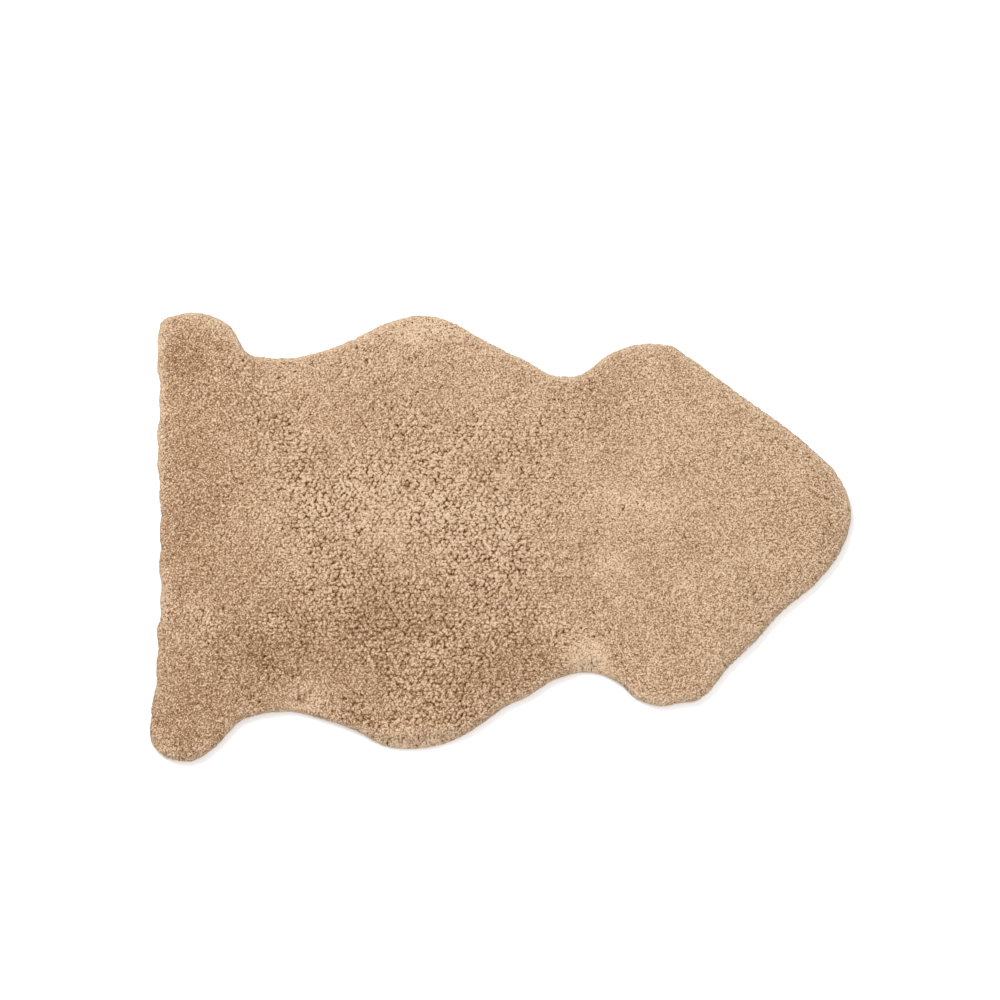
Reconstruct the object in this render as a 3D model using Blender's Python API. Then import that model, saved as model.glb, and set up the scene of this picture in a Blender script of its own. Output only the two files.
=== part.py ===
"""A shorn sheepskin rug: one tanned pelt that lies flat, wool side up.

The rug is one solid, as the real one is one piece. A thin flat foot of skin lies on the
floor. The curled wool stands on it as a lumpy slab, which swells out past the cut edge
of the skin and ends in short tapered locks all round its rim.

The origin is the middle of the underside. +X runs along the back to the neck, +Y is the
pelt's left flank and +Z is up. The driving sizes are in millimetres, and MM turns them
into the metres of the scene.
"""

import math
import random

import bmesh
import bpy
import numpy as np
from mathutils import Vector, noise
from mathutils.geometry import delaunay_2d_cdt

MM = 0.001

# ---- the pelt's outline, seen from above: the edge that the wool reaches ----

# One row for each section across the back, from the hind legs to the neck:
# (distance along the back, reach of the left flank, reach of the right flank)
BACK_SECTIONS = (
    (-440.0, 311.0, 307.0),  # corner of the hind tabs
    (-402.0, 314.0, 314.0),  # end of the hind tabs
    (-370.0, 293.0, 293.0),
    (-340.0, 255.0, 262.0),
    (-290.0, 247.0, 247.0),  # hollow of the flank, in front of the hind leg
    (-230.0, 263.0, 256.0),
    (-170.0, 292.0, 287.0),
    (-110.0, 312.0, 301.0),  # belly, the widest place behind the waist
    (-50.0, 293.0, 280.0),
    (10.0, 257.0, 238.0),
    (70.0, 223.0, 204.0),
    (100.0, 221.0, 196.0),  # waist, behind the foreleg
    (148.0, 256.0, 208.0),
    (176.0, 267.0, 232.0),
    (212.0, 270.0, 241.0),  # shoulder
    (250.0, 252.0, 233.0),
    (300.0, 212.0, 183.0),
    (360.0, 164.0, 119.0),
    (420.0, 113.0, 66.0),
    (448.0, 80.0, 29.0),  # neck
)
NOSE_TIP = (465.0, 29.0)

# The cut end behind the hind legs, from the left corner to the right one:
# (distance along the back, place across it)
CUT_END = (
    (-461.0, 301.0),
    (-467.0, 279.0),
    (-462.0, 190.0),
    (-463.0, 130.0),
    (-456.0, 30.0),
    (-454.0, -117.0),
    (-454.0, -217.0),
    (-459.0, -262.0),
    (-455.0, -291.0),
)
SCALLOP_PITCH = 47.0  # the tufts along the cut end bunch up at this pitch
SCALLOP_DEPTH = 3.0

# ---- the pelt's thickness ----

PILE_TOP = 28.0  # floor to the top of the shorn wool
# The slab's side, from the floor up: (inset from the wool's edge, height above the floor)
SKIN_UNDERSIDE = (14.0, 0.0)
SKIN_TOP = (13.5, 2.5)
WOOL_FOOT = (8.0, 4.5)
WOOL_BULGE = (6.0, 10.5)
WOOL_SIDE = (6.5, 17.0)
WOOL_SHOULDER = (10.0, 22.5)
SIDE_SECTIONS = (SKIN_UNDERSIDE, SKIN_TOP, WOOL_FOOT, WOOL_BULGE, WOOL_SIDE, WOOL_SHOULDER)
CROWN_INSET = 32.0  # past this inset the wool has its full height

# ---- the lumps of the wool's top ----

RIM_STEPS = 280  # divisions round the rim, about 10 mm each
RIM_UNEVEN = 0.28  # how far a division may stray along the rim, over its own width
LATTICE_PITCH = 15.0  # spacing of the top's points
LATTICE_JITTER = 2.5
SHOULDER_WIDTH = 6.0  # from the side's top ring to the ring of points on the shoulder
RING_SLACK = 0.75  # a shoulder point nearer the edge than this allows would fold a tight corner
INSIDE_ONLY = 1  # the triangulation keeps what its outline encloses
SAME_POINT = 1e-5  # points this close, in millimetres, are one
# One row for each size of lump: (wavelength, height of the lumps)
LUMPS = ((190.0, 2.2), (60.0, 2.6), (30.0, 2.4))
# Places where the wool parts: (along, across, heading in degrees, length, half width, depth)
PARTINGS = (
    (0.0, 13.0, 88.0, 120.0, 9.0, 3.0),  # over the middle of the back
    (346.0, -99.0, 50.0, 34.0, 8.0, 4.0),  # beside the neck
    (112.0, -167.0, 75.0, 60.0, 9.0, 3.0),  # above the waist of the right flank
    (-330.0, 193.0, 20.0, 90.0, 10.0, 2.5),  # on the left hind leg
)

# ---- the locks at the rim ----

LOCK_ROWS = ((WOOL_FOOT, WOOL_BULGE), (WOOL_BULGE, WOOL_SIDE))  # the bands that they grow from
LOCK_LENGTH = (4.5, 9.0)
LOCK_TAPER = (0.28, 0.55)  # width of a lock's tip over the width of its root
LOCK_LEAN = 3.5  # how far a tip may lean to either side
LOCK_DROOP = (0.0, 2.0)

CHANCE_SEED = 7

WOOL_COLOUR = (0.533, 0.356, 0.223, 1.0)
WOOL_ROUGHNESS = 0.95


def outline_landmarks():
    """The landmarks of the wool's edge, anticlockwise from the nose."""
    left_flank = [(along, left) for along, left, _ in reversed(BACK_SECTIONS)]
    right_flank = [(along, -right) for along, _, right in BACK_SECTIONS]
    return np.array([NOSE_TIP, *left_flank, *CUT_END, *right_flank])


def smooth_closed(landmarks, steps=16):
    """A closed curve through the landmarks: cubic spans whose slope at each landmark is
    the mean of the two chords that meet there, the shorter chord counting more."""
    chord = np.roll(landmarks, -1, axis=0) - landmarks
    length = np.linalg.norm(chord, axis=1)[:, None]
    last_chord, last_length = np.roll(chord, 1, axis=0), np.roll(length, 1, axis=0)
    slope = (chord / length * last_length + last_chord / last_length * length) / (length + last_length)
    t = np.linspace(0.0, 1.0, steps, endpoint=False)[None, :, None]
    start, end = landmarks[:, None], np.roll(landmarks, -1, axis=0)[:, None]
    leave = (slope * length)[:, None]
    arrive = (np.roll(slope, -1, axis=0) * length)[:, None]
    spans = (
        (2 * t**3 - 3 * t**2 + 1) * start
        + (t**3 - 2 * t**2 + t) * leave
        + (3 * t**2 - 2 * t**3) * end
        + (t**3 - t**2) * arrive
    )
    return spans.reshape(-1, 2)


def spaced_out(curve, count, uneven):
    """The closed curve again, as this many points along it at nearly equal distances."""
    closed = np.vstack([curve, curve[:1]])
    run = np.concatenate([[0.0], np.cumsum(np.linalg.norm(np.diff(closed, axis=0), axis=1))])
    stray = np.random.default_rng(CHANCE_SEED).uniform(-uneven, uneven, count)
    places = (np.arange(count) + 0.5 + stray) * run[-1] / count
    return np.column_stack([np.interp(places, run, closed[:, axis]) for axis in (0, 1)])


def outward(curve):
    """Unit normals of an anticlockwise closed curve, pointing away from what it encloses."""
    along = np.roll(curve, -1, axis=0) - np.roll(curve, 1, axis=0)
    normal = np.column_stack([along[:, 1], -along[:, 0]])
    return normal / np.linalg.norm(normal, axis=1)[:, None]


def wool_edge():
    """The wool's edge as RIM_STEPS points, with the scallops of the cut end."""
    edge = spaced_out(smooth_closed(outline_landmarks()), RIM_STEPS, RIM_UNEVEN)
    normal = outward(edge)
    on_cut_end = np.clip((-normal[:, 0] - 0.9) / 0.1, 0.0, 1.0)
    dip = 0.5 - 0.5 * np.cos(2.0 * math.pi * edge[:, 1] / SCALLOP_PITCH)
    return edge - normal * (SCALLOP_DEPTH * on_cut_end * dip)[:, None]


def inset_ring(edge, section):
    """One ring of the slab's side: the edge moved inwards, at its height, in millimetres."""
    inset, height = section
    ring = edge - outward(edge) * inset
    return np.column_stack([ring, np.full(len(ring), height)])


def distance_to(edge, points):
    """Shortest distance from each point to the closed edge."""
    start, span = edge, np.roll(edge, -1, axis=0) - edge
    offset = points[:, None] - start[None]
    share = np.clip((offset * span).sum(-1) / (span * span).sum(-1), 0.0, 1.0)
    return np.linalg.norm(offset - share[..., None] * span, axis=-1).min(axis=1)


def inside(edge, points):
    """True for the points that the closed edge encloses, by counting its crossings."""
    x, y = points[:, 0, None], points[:, 1, None]
    x1, y1 = edge.T
    x2, y2 = np.roll(edge, -1, axis=0).T
    spans = (y1 > y) != (y2 > y)
    crossing = x1 + (y - y1) * (x2 - x1) / np.where(y2 == y1, 1.0, y2 - y1)
    return (spans & (x < crossing)).sum(axis=1) % 2 == 1


def lattice_points(edge):
    """A ring of points on the shoulder, then a jittered triangular lattice within it."""
    near = WOOL_SHOULDER[0] + SHOULDER_WIDTH
    ring = edge - outward(edge) * near
    ring = ring[distance_to(edge, ring) > near - RING_SLACK]

    row_pitch = LATTICE_PITCH * math.sqrt(3.0) / 2.0
    low, high = edge.min(axis=0), edge.max(axis=0)
    across = np.arange(low[1], high[1], row_pitch)
    along = np.arange(low[0], high[0], LATTICE_PITCH)
    x, y = np.meshgrid(along, across)
    x[1::2] += LATTICE_PITCH / 2.0
    lattice = np.column_stack([x.ravel(), y.ravel()])
    lattice += np.random.default_rng(CHANCE_SEED).uniform(-LATTICE_JITTER, LATTICE_JITTER, lattice.shape)
    lattice = lattice[inside(edge, lattice)]
    lattice = lattice[distance_to(edge, lattice) > near + LATTICE_PITCH / 2.0]
    return np.vstack([ring, lattice])


def parting_depth(points):
    """How far the wool sinks where it parts: a soft trough along each short line."""
    depth = np.zeros(len(points))
    for along, across, heading, length, half_width, sink in PARTINGS:
        angle = math.radians(heading)
        offset = points - (along, across)
        lengthwise = offset @ (math.cos(angle), math.sin(angle))
        sideways = offset @ (-math.sin(angle), math.cos(angle))
        ends = np.clip(np.abs(lengthwise) / (length / 2.0), 0.0, 1.0)
        depth += sink * (1.0 - ends**2) * np.exp(-((sideways / half_width) ** 2))
    return depth


def wool_height(edge, points):
    """Height of the wool's top: a quarter of an ellipse from the shoulder to the full
    pile, with lumps of several sizes on it and the partings sunk into it."""
    low, high = WOOL_SHOULDER[1], PILE_TOP
    rise = (distance_to(edge, points) - WOOL_SHOULDER[0]) / (CROWN_INSET - WOOL_SHOULDER[0])
    rise = np.clip(rise, 0.0, 1.0)
    height = low + (high - low) * np.sqrt(1.0 - (1.0 - rise) ** 2)
    for wavelength, lump in LUMPS:
        swell = [noise.noise(Vector((x / wavelength, y / wavelength, wavelength))) for x, y in points]
        height += lump * rise * np.array(swell)
    return height - rise * parting_depth(points)


def add_side(bm, edge):
    """The slab's side, band by band from the skin's underside to the wool's shoulder, and
    the bands' faces by the sections that they join."""
    rings = [
        [bm.verts.new(point) for point in inset_ring(edge, section) * MM] for section in SIDE_SECTIONS
    ]
    bands = {}
    for lower, upper, below, above in zip(rings, rings[1:], SIDE_SECTIONS, SIDE_SECTIONS[1:]):
        bands[below, above] = [
            bm.faces.new((lower[i - 1], lower[i], upper[i], upper[i - 1])) for i in range(len(edge))
        ]
    return rings[0], rings[-1], bands


def add_top(bm, edge, shoulder):
    """The wool's top: a triangulated net of lumpy points, sewn to the shoulder's ring."""
    rim = [vert.co.xy / MM for vert in shoulder]
    points = lattice_points(edge)
    heights = wool_height(edge, points)
    seam = [((i - 1) % len(rim), i) for i in range(len(rim))]
    net = delaunay_2d_cdt([*rim, *map(Vector, points)], seam, [], INSIDE_ONLY, SAME_POINT)
    places, triangles, sources = net[0], net[2], net[3]
    verts = []
    for place, (source, *_) in zip(places, sources):
        if source < len(rim):
            verts.append(shoulder[source])
        else:
            height = heights[source - len(rim)]
            verts.append(bm.verts.new((place.x * MM, place.y * MM, height * MM)))
    for triangle in triangles:
        bm.faces.new([verts[i] for i in triangle])


def add_locks(bm, bands):
    """Tapered four-sided locks, drawn out of every second face of two bands, staggered."""
    drawn = []
    for row, band in enumerate(LOCK_ROWS):
        drawn += bands[band][row::2]
    tips = bmesh.ops.extrude_discrete_faces(bm, faces=drawn)["faces"]
    chance = random.Random(CHANCE_SEED)
    for tip in tips:
        tip.normal_update()
        middle = tip.calc_center_median()
        out = Vector((tip.normal.x, tip.normal.y, 0.0)).normalized()
        beside = Vector((-out.y, out.x, 0.0))
        reach = (
            out * chance.uniform(*LOCK_LENGTH)
            + beside * chance.uniform(-LOCK_LEAN, LOCK_LEAN)
            - Vector((0.0, 0.0, chance.uniform(*LOCK_DROOP)))
        ) * MM
        taper = chance.uniform(*LOCK_TAPER)
        for vert in tip.verts:
            vert.co = middle + (vert.co - middle) * taper + reach
    return len(tips)


def centre_on_origin(bm):
    """Moves the pelt so that the middle of its length and width is the origin."""
    places = np.array([vert.co for vert in bm.verts])
    middle = (places.min(axis=0) + places.max(axis=0)) / 2.0
    bmesh.ops.translate(bm, verts=bm.verts, vec=(-middle[0], -middle[1], 0.0))


def wool_material():
    material = bpy.data.materials.new("wool")
    material.use_nodes = True
    shader = material.node_tree.nodes["Principled BSDF"]
    shader.inputs["Base Color"].default_value = WOOL_COLOUR
    shader.inputs["Roughness"].default_value = WOOL_ROUGHNESS
    shader.inputs["Metallic"].default_value = 0.0
    return material


def build_pelt(collection):
    edge = wool_edge()
    bm = bmesh.new()
    underside, shoulder, bands = add_side(bm, edge)
    add_top(bm, edge, shoulder)
    bm.faces.new(list(reversed(underside)))
    locks = add_locks(bm, bands)
    centre_on_origin(bm)
    bmesh.ops.recalc_face_normals(bm, faces=bm.faces)
    mesh = bpy.data.meshes.new("pelt")
    bm.to_mesh(mesh)
    bm.free()
    mesh.shade_smooth()
    mesh.set_sharp_from_angle(angle=math.radians(40.0))
    mesh.materials.append(wool_material())
    pelt = bpy.data.objects.new("pelt", mesh)
    collection.objects.link(pelt)
    print("pelt:", locks, "locks at the rim")
    return pelt


def main():
    for old in list(bpy.data.objects):
        bpy.data.objects.remove(old, do_unlink=True)
    collection = bpy.data.collections.new("sheepskin_rug")
    bpy.context.scene.collection.children.link(collection)
    build_pelt(collection)


main()
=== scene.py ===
# %% [markdown]
# # A shorn sheepskin rug
# A sheepskin rug is one pelt. Its skin is tanned to soft suede and lies on the floor, and
# its own wool stands on it, shorn to one height. Seen from above, the wool is a field of
# small rounded lumps, each the head of a lock of fibres. It could be grown as particle
# hair, but hair doesn't leave Blender as a plain mesh. So this script works the wool out
# as one surface, lump by lump, over the solid pelt that the frame brings.

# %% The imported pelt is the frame
import math

import bpy
import numpy as np
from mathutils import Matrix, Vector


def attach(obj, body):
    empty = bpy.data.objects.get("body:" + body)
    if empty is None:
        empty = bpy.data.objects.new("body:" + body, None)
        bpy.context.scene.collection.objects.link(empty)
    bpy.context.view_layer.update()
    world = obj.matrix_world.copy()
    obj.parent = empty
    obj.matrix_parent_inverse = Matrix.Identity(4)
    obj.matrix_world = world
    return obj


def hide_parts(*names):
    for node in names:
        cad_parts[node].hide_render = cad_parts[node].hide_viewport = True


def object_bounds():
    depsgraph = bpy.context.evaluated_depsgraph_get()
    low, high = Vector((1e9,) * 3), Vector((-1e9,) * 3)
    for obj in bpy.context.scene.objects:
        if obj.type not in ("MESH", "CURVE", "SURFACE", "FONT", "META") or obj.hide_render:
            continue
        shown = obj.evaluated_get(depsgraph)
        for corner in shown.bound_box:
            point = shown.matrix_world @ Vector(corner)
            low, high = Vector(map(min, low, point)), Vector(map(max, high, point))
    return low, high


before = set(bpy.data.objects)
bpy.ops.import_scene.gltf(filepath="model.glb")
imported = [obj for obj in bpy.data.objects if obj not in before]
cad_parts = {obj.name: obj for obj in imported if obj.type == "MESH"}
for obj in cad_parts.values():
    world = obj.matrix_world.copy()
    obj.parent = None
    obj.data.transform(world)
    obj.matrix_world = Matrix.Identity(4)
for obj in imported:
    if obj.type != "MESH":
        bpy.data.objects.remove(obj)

CAD_BOX = [list(corner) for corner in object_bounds()]
MM = 0.001
print("the pelt's box in metres:", CAD_BOX)

# %% [markdown]
# ## The camera
# The photograph looks down on the rug from well above its right flank, through a long lens
# from far away, so that the far flank is hardly smaller than the near one. The lens could
# be found by trial. Here it is worked out, because the rug's length is known and so is the
# number of the picture's pixels that it covers.

# %% The camera
PICTURE_SIDE_PX = 1000
RUG_LENGTH_PX = 703
RUG_MIDDLE_PX = (501, 530.5)
VIEW_ELEVATION = math.radians(70.0)
VIEW_DISTANCE = 4.5
SENSOR_MM = 36.0


def add_camera():
    """A camera at VIEW_DISTANCE from the rug. Its lens is sensor width times distance over
    the width that the picture spans, and it looks past the rug's middle by as much as that
    middle lies off the picture's centre."""
    rug_length = CAD_BOX[1][0] - CAD_BOX[0][0]
    metres_per_px = rug_length / RUG_LENGTH_PX
    span = metres_per_px * PICTURE_SIDE_PX
    back = np.array([0.0, -math.cos(VIEW_ELEVATION), math.sin(VIEW_ELEVATION)])
    up = np.array([0.0, math.sin(VIEW_ELEVATION), math.cos(VIEW_ELEVATION)])
    right = np.array([1.0, 0.0, 0.0])
    middle = (np.array(CAD_BOX[0]) + np.array(CAD_BOX[1])) / 2.0
    off_right = (PICTURE_SIDE_PX / 2.0 - RUG_MIDDLE_PX[0]) * metres_per_px
    off_up = (RUG_MIDDLE_PX[1] - PICTURE_SIDE_PX / 2.0) * metres_per_px
    place = middle + off_right * right + off_up * up + VIEW_DISTANCE * back

    data = bpy.data.cameras.new("camera")
    data.sensor_width = SENSOR_MM
    data.lens = SENSOR_MM * VIEW_DISTANCE / span
    data.clip_end = 50.0
    camera = bpy.data.objects.new("camera", data)
    camera.location = place
    camera.rotation_euler = (math.pi / 2.0 - VIEW_ELEVATION, 0.0, 0.0)
    bpy.context.scene.collection.objects.link(camera)
    bpy.context.scene.camera = camera
    print(f"lens {data.lens:.1f} mm, one pixel is {metres_per_px * 1000:.2f} mm of rug")


add_camera()

# %% [markdown]
# ## The outline of the pelt
# A tanner trims a pelt along the animal's own shape: hind tabs, a hollow flank, the belly,
# a waist behind the forelegs, the shoulders and a blunt neck, with a straight cut behind
# the hind legs. The outline could be drawn as a curve by hand. A table of sections across
# the back says it better, because a pattern cutter would write it down in the same way.

# %% The landmarks, in millimetres
# (distance along the back, reach of the left flank, reach of the right flank)
BACK_SECTIONS = (
    (-440.0, 313.0, 307.0),  # corner of the hind tabs
    (-402.0, 314.0, 314.0),  # end of the hind tabs
    (-370.0, 297.0, 293.0),
    (-340.0, 254.0, 260.0),
    (-318.0, 250.0, 252.0),
    (-290.0, 249.0, 248.0),  # hollow of the flank, in front of the hind leg
    (-230.0, 264.0, 259.0),
    (-190.0, 283.0, 274.0),
    (-150.0, 303.0, 296.0),
    (-110.0, 312.0, 299.0),  # belly
    (-70.0, 303.0, 291.0),
    (-30.0, 279.0, 267.0),
    (10.0, 257.0, 238.0),
    (30.0, 247.0, 229.0),
    (70.0, 224.0, 204.0),
    (100.0, 223.0, 196.0),  # waist, behind the foreleg
    (148.0, 256.0, 205.0),
    (176.0, 267.0, 230.0),
    (212.0, 270.0, 240.0),  # shoulder
    (230.0, 267.0, 236.0),
    (250.0, 253.0, 234.0),
    (300.0, 213.0, 184.0),
    (340.0, 181.0, 144.0),
    (360.0, 166.0, 120.0),
    (420.0, 113.0, 66.0),
    (448.0, 82.0, 29.0),  # neck
)
NOSE_TIP = (465.0, 29.0)
# (distance along the back, place across it), from the left corner to the right one
CUT_END = (
    (-463.0, 302.0),
    (-467.0, 279.0),
    (-462.0, 190.0),
    (-463.0, 130.0),
    (-456.0, 30.0),
    (-454.0, -117.0),
    (-454.0, -217.0),
    (-459.0, -262.0),
    (-455.0, -291.0),
)
print("the outline has", 2 * len(BACK_SECTIONS) + len(CUT_END) + 1, "landmarks")

# %% [markdown]
# A knife leaves no corners in a pelt, so a smooth curve has to run through the landmarks.
# A Hermite curve does, and where the landmarks are uneven it doesn't swing out, as long as
# the shorter of two neighbouring chords has more say in the slope between them.

# %% A smooth closed curve
SPAN_STEPS = 24  # points of the curve from one landmark to the next


def smooth_closed(landmarks):
    """A closed curve through the landmarks. Each span is a cubic Hermite curve, and the slope
    at a landmark is the mean of its two chords, the shorter chord counting more."""
    chord = np.roll(landmarks, -1, axis=0) - landmarks
    length = np.linalg.norm(chord, axis=1)[:, None]
    last_chord, last_length = np.roll(chord, 1, axis=0), np.roll(length, 1, axis=0)
    slope = chord / length * last_length + last_chord / last_length * length
    slope = slope / (length + last_length)
    t = np.linspace(0.0, 1.0, SPAN_STEPS, endpoint=False)[None, :, None]
    start, end = landmarks[:, None], np.roll(landmarks, -1, axis=0)[:, None]
    leave = (slope * length)[:, None]
    arrive = (np.roll(slope, -1, axis=0) * length)[:, None]
    spans = (
        (2 * t**3 - 3 * t**2 + 1) * start
        + (t**3 - 2 * t**2 + t) * leave
        + (3 * t**2 - 2 * t**3) * end
        + (t**3 - t**2) * arrive
    )
    return spans.reshape(-1, 2)


def outward(curve):
    """Unit normals of an anticlockwise closed curve: its chords turned a quarter turn."""
    along = np.roll(curve, -1, axis=0) - np.roll(curve, 1, axis=0)
    normal = np.column_stack([along[:, 1], -along[:, 0]])
    return normal / np.linalg.norm(normal, axis=1)[:, None]


def evenly_spaced(curve, count):
    """The closed curve again, as this many points at equal distances along it."""
    closed = np.vstack([curve, curve[:1]])
    run = np.concatenate([[0.0], np.cumsum(np.linalg.norm(np.diff(closed, axis=0), axis=1))])
    places = np.arange(count) * run[-1] / count
    return np.column_stack([np.interp(places, run, closed[:, axis]) for axis in (0, 1)])


print("a span between two landmarks gets", SPAN_STEPS, "points")

# %% [markdown]
# Along the straight cut the wool bunches up in soft scallops, which show as small bays in
# the outline. They could be landmarks too. A cosine says the same in one line.

# %% The edge of the wool
EDGE_POINTS = 900
SCALLOP_PITCH = 47.0
SCALLOP_DEPTH = 2.0


def wool_edge():
    """The edge that the wool reaches, in metres: the smooth outline, moved inwards on the cut
    end by half the depth times 1 - cos(2 pi y / pitch), and with the middle of its length
    and width at the origin."""
    left = [(along, reach) for along, reach, _ in reversed(BACK_SECTIONS)]
    right = [(along, -reach) for along, _, reach in BACK_SECTIONS]
    edge = smooth_closed(np.array([NOSE_TIP, *left, *CUT_END, *right]))
    edge = evenly_spaced(edge, EDGE_POINTS)
    normal = outward(edge)
    on_cut_end = np.clip((-normal[:, 0] - 0.9) / 0.1, 0.0, 1.0)  # 1 where it faces -X
    dip = 0.5 - 0.5 * np.cos(2.0 * math.pi * edge[:, 1] / SCALLOP_PITCH)
    edge = edge - normal * (SCALLOP_DEPTH * on_cut_end * dip)[:, None]
    edge -= (edge.min(axis=0) + edge.max(axis=0)) / 2.0
    return edge * MM


EDGE = wool_edge()
EDGE_STEP = np.linalg.norm(EDGE[1] - EDGE[0])  # nearly the same all round
edge_length = np.linalg.norm(EDGE - np.roll(EDGE, 1, axis=0), axis=1).sum()
print(f"the wool's edge is {edge_length:.2f} m round")

# %% [markdown]
# Two questions come up for every point of the wool: how far in from the edge does it lie,
# and how high is the pelt there? The first is plain geometry, worked out for whole batches
# of points at once.

# %% Distance from the edge
BATCH = 2000  # points handled at a time, to keep the arrays small
MIDDLE = np.zeros((1, 2))  # the rug's middle, where the tools below are tried


def edge_distance(points):
    """How far in from the edge each point lies, negative outside, the unit direction to the
    nearest place on the edge, and how far along the edge that place is. A point is inside if
    a line from it towards +X crosses the edge an odd number of times."""
    start, span = EDGE, np.roll(EDGE, -1, axis=0) - EDGE
    x2, y2 = np.roll(EDGE, -1, axis=0).T
    depth, towards, run = np.empty(len(points)), np.empty((len(points), 2)), np.empty(len(points))
    for first in range(0, len(points), BATCH):
        some = points[first : first + BATCH]
        offset = some[:, None] - start[None]
        share = np.clip((offset * span).sum(-1) / (span * span).sum(-1), 0.0, 1.0)
        to_edge = share[..., None] * span - offset
        distance = np.linalg.norm(to_edge, axis=-1)
        nearest = distance.argmin(axis=1)
        rows = np.arange(len(some))
        x, y = some[:, 0, None], some[:, 1, None]
        spans = (start[:, 1] > y) != (y2 > y)
        rise = np.where(y2 == start[:, 1], 1.0, y2 - start[:, 1])
        crossing = start[:, 0] + (y - start[:, 1]) * (x2 - start[:, 0]) / rise
        inside = (spans & (x < crossing)).sum(axis=1) % 2 == 1
        near = distance[rows, nearest]
        depth[first : first + BATCH] = np.where(inside, near, -near)
        towards[first : first + BATCH] = to_edge[rows, nearest] / np.maximum(near, 1e-9)[:, None]
        run[first : first + BATCH] = (nearest + share[rows, nearest]) * EDGE_STEP
    return depth, towards, run


print(f"the origin lies {1000.0 * edge_distance(MIDDLE)[0][0]:.0f} mm in from the edge")

# %% [markdown]
# The second question is asked of the frame's solid, so that the wool stands where the
# solid's lumpy top is. The solid's points are far apart, so their heights are blurred.

# %% Height of the pelt
SHOULDER_HEIGHT = 22.0 * MM
HEIGHT_BLUR = 8.0 * MM


def solid_top():
    """The points of the frame's pelt that lie on its top, each once."""
    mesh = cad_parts["pelt"].data
    places = np.empty(len(mesh.vertices) * 3, np.float32)
    mesh.vertices.foreach_get("co", places)
    places = np.unique(places.reshape(-1, 3).astype(float).round(6), axis=0)
    return places[places[:, 2] > SHOULDER_HEIGHT]


SOLID_TOP = solid_top()


def pile_top(points):
    """Height of the pelt's top at each point: the mean of the solid's own points, each
    counting by exp(-(distance / HEIGHT_BLUR) squared)."""
    height = np.empty(len(points))
    for first in range(0, len(points), BATCH):
        some = points[first : first + BATCH]
        apart = ((some[:, None] - SOLID_TOP[None, :, :2]) ** 2).sum(-1)
        weight = np.exp(-apart / HEIGHT_BLUR**2) + 1e-12
        height[first : first + BATCH] = (weight * SOLID_TOP[:, 2]).sum(1) / weight.sum(1)
    return height


print(f"{len(SOLID_TOP)} points of the solid carry the wool's top")

# %% [markdown]
# The wool below has hundreds of thousands of points, too many to measure one by one. So both
# answers are worked out once on a coarse map, and everything else reads them off the map.

# %% A map of the edge and the height
MAP_STEP = 5.0 * MM
MAP_MARGIN = 34.0 * MM


def measured_map():
    """The map's corner and, for each of its places, how far in from the edge it lies, the
    direction outwards, the height of the pelt, and how far along the edge it is."""
    low, high = EDGE.min(axis=0) - MAP_MARGIN, EDGE.max(axis=0) + MAP_MARGIN
    x, y = (np.arange(low[axis], high[axis] + MAP_STEP, MAP_STEP) for axis in (0, 1))
    places = np.stack(np.meshgrid(x, y, indexing="ij"), axis=-1).reshape(-1, 2)
    depth, towards, run = edge_distance(places)
    outwards = towards * np.sign(depth)[:, None]
    values = np.column_stack([depth, outwards, pile_top(places), run])
    return low, values.reshape(len(x), len(y), -1)


MAP_CORNER, MAP_VALUES = measured_map()


def look_up(points):
    """The map's five values at each point, between its four nearest places: each counts by
    how near the point is to it."""
    at = (points - MAP_CORNER) / MAP_STEP
    cell = np.clip(at.astype(int), 0, np.array(MAP_VALUES.shape[:2]) - 2)
    right, up = ((at - cell)[:, axis, None] for axis in (0, 1))
    i, j = cell.T
    lower = (1.0 - right) * MAP_VALUES[i, j] + right * MAP_VALUES[i + 1, j]
    upper = (1.0 - right) * MAP_VALUES[i, j + 1] + right * MAP_VALUES[i + 1, j + 1]
    return (1.0 - up) * lower + up * upper


print("the map has", MAP_VALUES.shape[0], "by", MAP_VALUES.shape[1], "places")

# %% [markdown]
# ## Putting arrays into a mesh
# All pieces below are worked out as arrays of points and faces. They could be built face by
# face with bmesh, but that is slow for so many. One helper puts them into a mesh with
# foreach_set, which takes a whole array at once. Faces of different sizes are a flat list
# of corners and a list of how many corners each face takes.

# %% A mesh from arrays


def mesh_piece(name, points, corners, sizes, smooth=True):
    """An object at the origin: corners holds the faces' point numbers one after another,
    sizes how many of them each face takes, and smooth says for all or for each face if it
    is shaded smoothly."""
    mesh = bpy.data.meshes.new(name)
    mesh.vertices.add(len(points))
    mesh.vertices.foreach_set("co", np.asarray(points, np.float32).ravel())
    mesh.loops.add(len(corners))
    mesh.loops.foreach_set("vertex_index", np.asarray(corners, np.int32))
    mesh.polygons.add(len(sizes))
    starts = np.concatenate([[0], np.cumsum(sizes)[:-1]])
    mesh.polygons.foreach_set("loop_start", starts.astype(np.int32))
    mesh.polygons.foreach_set("use_smooth", np.broadcast_to(smooth, len(sizes)).copy())
    mesh.update(calc_edges=True)
    piece = bpy.data.objects.new(name, mesh)
    bpy.context.scene.collection.objects.link(piece)
    return piece


def add_uv(piece, name, places):
    """A UV map: one (u, v) for each corner of each face."""
    layer = piece.data.uv_layers.new(name=name)
    layer.data.foreach_set("uv", np.asarray(places, np.float32).ravel())


def add_value(piece, name, values):
    """A number for each point, which a material reads by its name."""
    attribute = piece.data.attributes.new(name, "FLOAT", "POINT")
    attribute.data.foreach_set("value", np.asarray(values, np.float32).ravel())


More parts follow.
